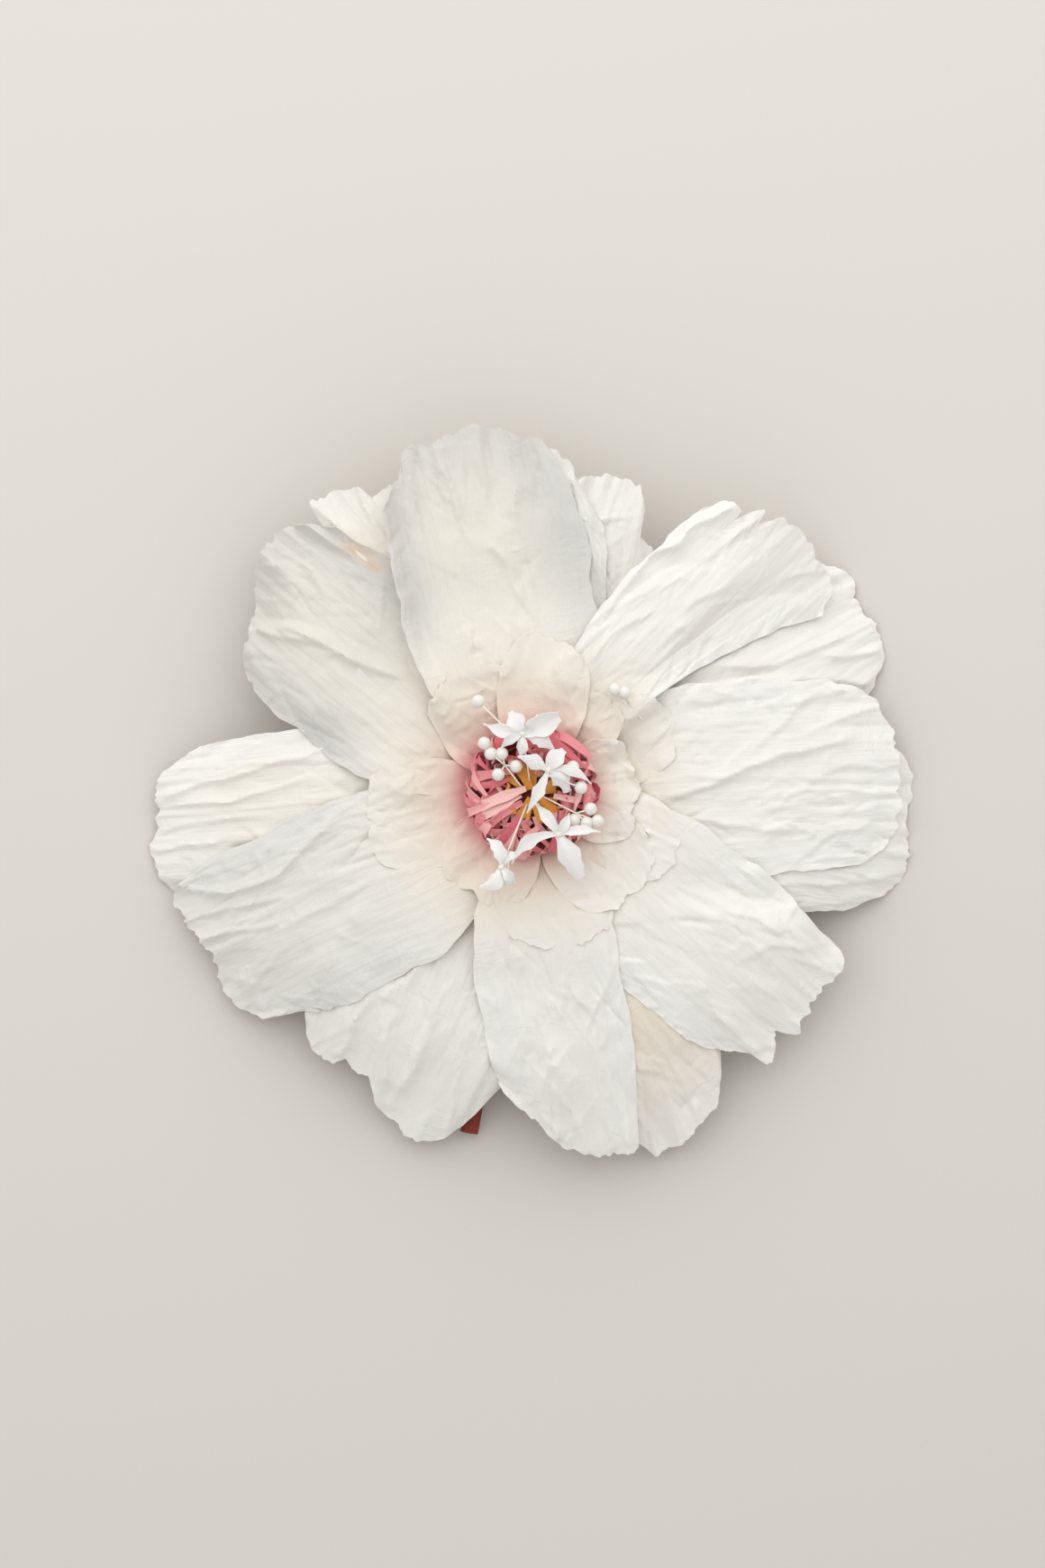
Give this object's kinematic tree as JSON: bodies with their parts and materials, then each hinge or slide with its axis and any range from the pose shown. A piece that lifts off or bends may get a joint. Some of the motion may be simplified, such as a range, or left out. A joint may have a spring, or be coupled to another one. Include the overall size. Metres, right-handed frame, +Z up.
{
  "type": "crepe paper peony",
  "caption": "Open crepe paper flower with layered white petals, a blush heart, a pink fringe, star blossoms with bead buds, and a wired stem folded flat beneath.",
  "frame": {"origin": "on the table, under the middle of the flower's outline", "axes": "+Z up out of the flower's face, +X to the flower's right and +Y to its top as it is looked at from above"},
  "size_m": [0.1838, 0.1714, 0.0398],
  "materials": {
    "white_paper": "matte stretched crepe paper",
    "blush_paper": "matte crepe paper, tinted towards the base",
    "sepal_paper": "matte crepe paper",
    "core_paper": "matte wadded crepe paper",
    "pink_paper": "matte crepe paper, cut in a fringe",
    "ochre_paper": "matte crepe paper, cut in a fringe",
    "blossom_paper": "smooth matte paper",
    "bud_lacquer": "satin lacquered pulp",
    "stem_paper": "matte stem tape",
    "stem_wire": "bare wire"
  },
  "bodies": {
    "root": {"guard_petal_1": "white_paper", "guard_petal_2": "white_paper", "guard_petal_3": "white_paper", "guard_petal_4": "white_paper", "guard_petal_5": "white_paper", "guard_petal_6": "white_paper", "guard_petal_7": "white_paper", "guard_petal_8": "white_paper", "petal_1": "white_paper", "petal_2": "white_paper", "petal_3": "white_paper", "petal_4": "white_paper", "petal_5": "white_paper", "petal_6": "white_paper", "petal_7": "white_paper", "blush_petal_1": "blush_paper", "blush_petal_2": "blush_paper", "blush_petal_3": "blush_paper", "blush_petal_4": "blush_paper", "blush_petal_5": "blush_paper", "blush_petal_6": "blush_paper", "blush_petal_7": "blush_paper", "blush_petal_8": "blush_paper", "blush_petal_9": "blush_paper", "blush_petal_10": "blush_paper", "sepal_1": "sepal_paper", "sepal_2": "sepal_paper", "sepal_3": "sepal_paper", "sepal_4": "sepal_paper", "sepal_5": "sepal_paper", "centre_core": "core_paper", "pink_fringe_outer": "pink_paper", "pink_fringe_inner": "pink_paper", "ochre_fringe": "ochre_paper", "blossom_1": "blossom_paper", "blossom_2": "blossom_paper", "blossom_3": "blossom_paper", "blossom_4": "blossom_paper", "bud_sprig_1": "bud_lacquer", "bud_sprig_2": "bud_lacquer", "bud_sprig_3": "bud_lacquer", "stem_wrap": "stem_paper", "stem_wire": "stem_wire"}
  },
  "joints": []
}
